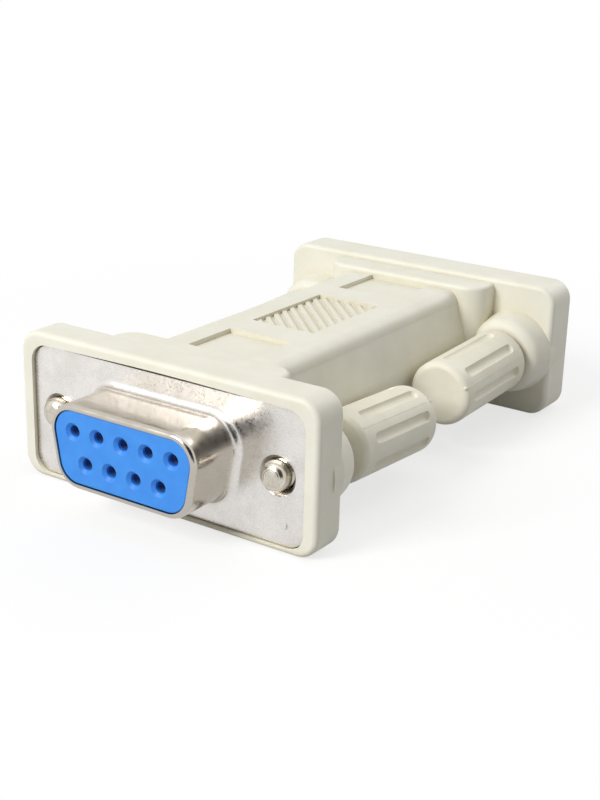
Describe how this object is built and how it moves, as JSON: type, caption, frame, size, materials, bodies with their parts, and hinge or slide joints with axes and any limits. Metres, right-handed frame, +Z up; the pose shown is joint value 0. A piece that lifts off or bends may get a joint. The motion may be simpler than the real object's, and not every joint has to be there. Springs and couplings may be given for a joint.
{
  "type": "null modem adapter",
  "caption": "Straight null modem adapter: a moulded body with flanged ends, a D-shaped socket connector in front, a pin connector behind and captive thumbscrews.",
  "frame": {"origin": "middle of the underside, on the surface that the flanges stand on", "axes": "+X right for someone facing the socket end, +Y from the socket end to the pin end, +Z up"},
  "size_m": [0.034, 0.0602, 0.0144],
  "materials": {
    "housing_plastic": "fine satin moulded",
    "knob_plastic": "fine satin moulded",
    "nickel_plate": "satin nickel over drawn steel",
    "insulator_plastic": "satin moulded",
    "gilt_brass": "gold flash",
    "tinned_wire": "tinned",
    "screw_steel": "turned, nickel plated",
    "wire_red": "extruded insulation",
    "wire_orange": "extruded insulation",
    "wire_yellow": "extruded insulation",
    "wire_green": "extruded insulation",
    "wire_violet": "extruded insulation",
    "wire_white": "extruded insulation",
    "wire_black": "extruded insulation"
  },
  "bodies": {
    "adapter": {"housing": "housing_plastic", "socket_shell": "nickel_plate", "socket_rear_can": "nickel_plate", "socket_front_insulator": "insulator_plastic", "socket_rear_insulator": "insulator_plastic", "socket_contact_1": "gilt_brass", "socket_contact_2": "gilt_brass", "socket_contact_3": "gilt_brass", "socket_contact_4": "gilt_brass", "socket_contact_5": "gilt_brass", "socket_contact_6": "gilt_brass", "socket_contact_7": "gilt_brass", "socket_contact_8": "gilt_brass", "socket_contact_9": "gilt_brass", "pin_shell": "nickel_plate", "pin_rear_can": "nickel_plate", "pin_front_insulator": "insulator_plastic", "pin_rear_insulator": "insulator_plastic", "pin_contact_1": "gilt_brass", "pin_contact_2": "gilt_brass", "pin_contact_3": "gilt_brass", "pin_contact_4": "gilt_brass", "pin_contact_5": "gilt_brass", "pin_contact_6": "gilt_brass", "pin_contact_7": "gilt_brass", "pin_contact_8": "gilt_brass", "pin_contact_9": "gilt_brass", "wire_2_to_3": "wire_red", "wire_3_to_2": "wire_orange", "wire_7_to_8": "wire_yellow", "wire_8_to_7": "wire_green", "wire_4_to_6": "wire_violet", "wire_6_to_4": "wire_white", "wire_5_to_5": "wire_black", "jumper_front": "tinned_wire", "jumper_rear": "tinned_wire"},
    "screw_front_left": {"thumbscrew_front_left": "screw_steel"},
    "grip_front_left": {"knob_front_left": "knob_plastic"},
    "screw_front_right": {"thumbscrew_front_right": "screw_steel"},
    "grip_front_right": {"knob_front_right": "knob_plastic"},
    "screw_rear_left": {"thumbscrew_rear_left": "screw_steel"},
    "grip_rear_left": {"knob_rear_left": "knob_plastic"},
    "screw_rear_right": {"thumbscrew_rear_right": "screw_steel"},
    "grip_rear_right": {"knob_rear_right": "knob_plastic"}
  },
  "joints": [
    {"name": "screw_front_left_slide", "type": "slide", "parent": "adapter", "child": "screw_front_left", "axis": [0, 0.998, -0.0628], "range_m": [-0.00238, 0.00095]},
    {"name": "grip_front_left_turn", "type": "hinge", "parent": "screw_front_left", "child": "grip_front_left", "pos_m": [-0.01249, -0.00871, 0.00599], "axis": [0, 0.998, -0.0628], "continuous": true},
    {"name": "screw_front_right_slide", "type": "slide", "parent": "adapter", "child": "screw_front_right", "axis": [0, 0.998, -0.0628], "range_m": [-0.00238, 0.00095]},
    {"name": "grip_front_right_turn", "type": "hinge", "parent": "screw_front_right", "child": "grip_front_right", "pos_m": [0.01249, -0.00871, 0.00599], "axis": [0, 0.998, -0.0628], "continuous": true},
    {"name": "screw_rear_left_slide", "type": "slide", "parent": "adapter", "child": "screw_rear_left", "axis": [0, 0.9996, 0.0279], "range_m": [-0.0031, 0.00038]},
    {"name": "grip_rear_left_turn", "type": "hinge", "parent": "screw_rear_left", "child": "grip_rear_left", "pos_m": [-0.01249, 0.0101, 0.00653], "axis": [0, 0.9996, 0.0279], "continuous": true},
    {"name": "screw_rear_right_slide", "type": "slide", "parent": "adapter", "child": "screw_rear_right", "axis": [0, 0.9996, 0.0279], "range_m": [-0.0031, 0.00038]},
    {"name": "grip_rear_right_turn", "type": "hinge", "parent": "screw_rear_right", "child": "grip_rear_right", "pos_m": [0.01249, 0.0101, 0.00653], "axis": [0, 0.9996, 0.0279], "continuous": true}
  ]
}
